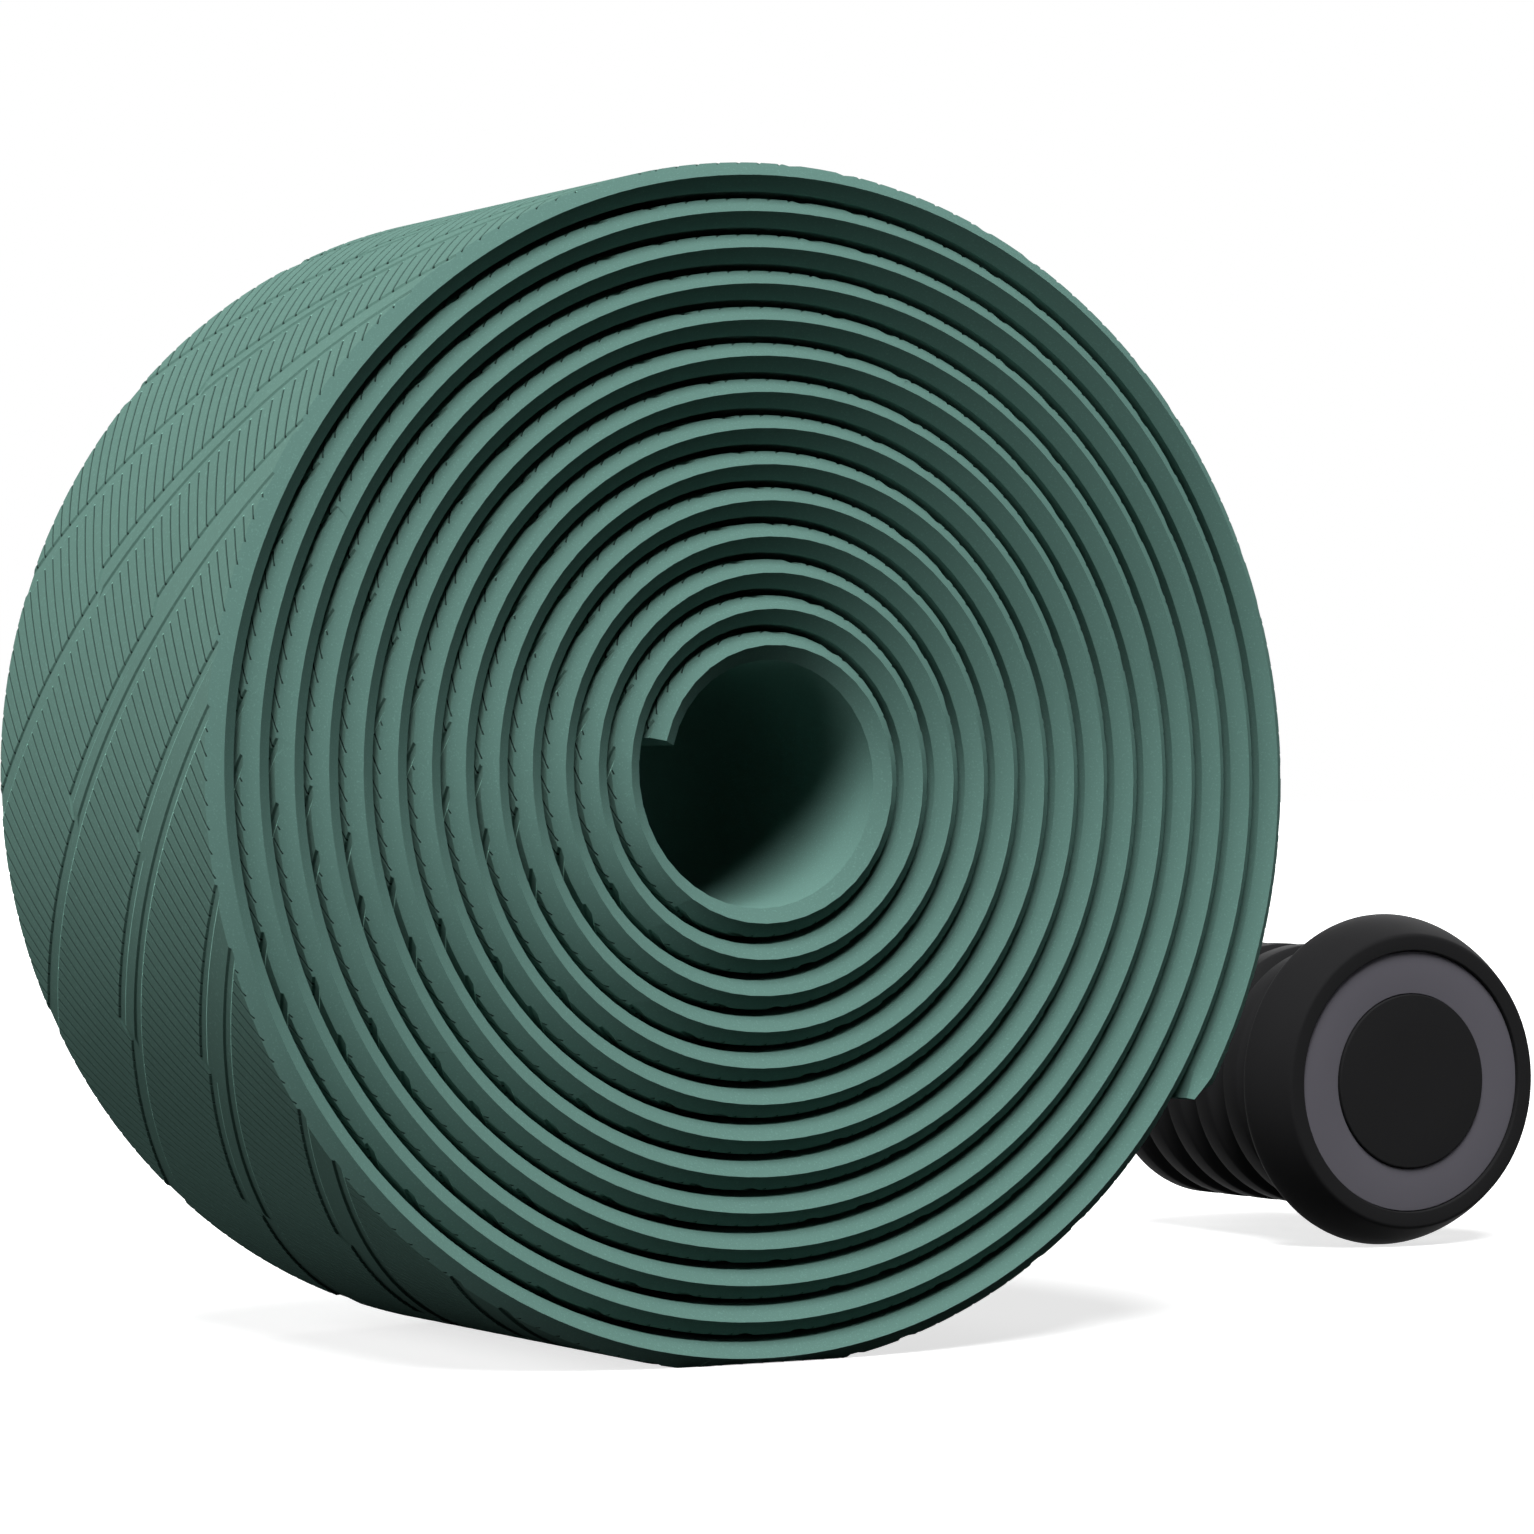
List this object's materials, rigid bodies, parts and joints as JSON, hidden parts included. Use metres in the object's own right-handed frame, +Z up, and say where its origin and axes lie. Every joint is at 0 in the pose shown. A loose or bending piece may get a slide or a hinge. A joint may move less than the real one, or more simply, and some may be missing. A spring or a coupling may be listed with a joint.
{
  "type": "handlebar tape roll with bar end plug",
  "caption": "Foam handlebar tape wound in an open spiral roll, with a push-in bar end plug with ribbed shank beside it.",
  "frame": {"origin": "middle of the small flat on which the roll stands, below the roll's axis and halfway across the tape's width", "axes": "+Z up, +Y along the roll's and the plug's axes toward the back, -Y toward the roll's front face and the plug's cap, +X to the right toward the plug"},
  "size_m": [0.1443, 0.0845, 0.0802],
  "materials": {
    "tape_foam": "matte",
    "plug_plastic": "satin",
    "inlay_plastic": "matte"
  },
  "bodies": {
    "roll": {"wound_tape": "tape_foam"},
    "plug": {"plug_body": "plug_plastic", "plug_inlay": "inlay_plastic"}
  },
  "joints": [
    {"name": "plug_lift", "type": "slide", "parent": "roll", "child": "plug", "axis": [0, 0, 1], "range_m": [0, 0.09]}
  ]
}
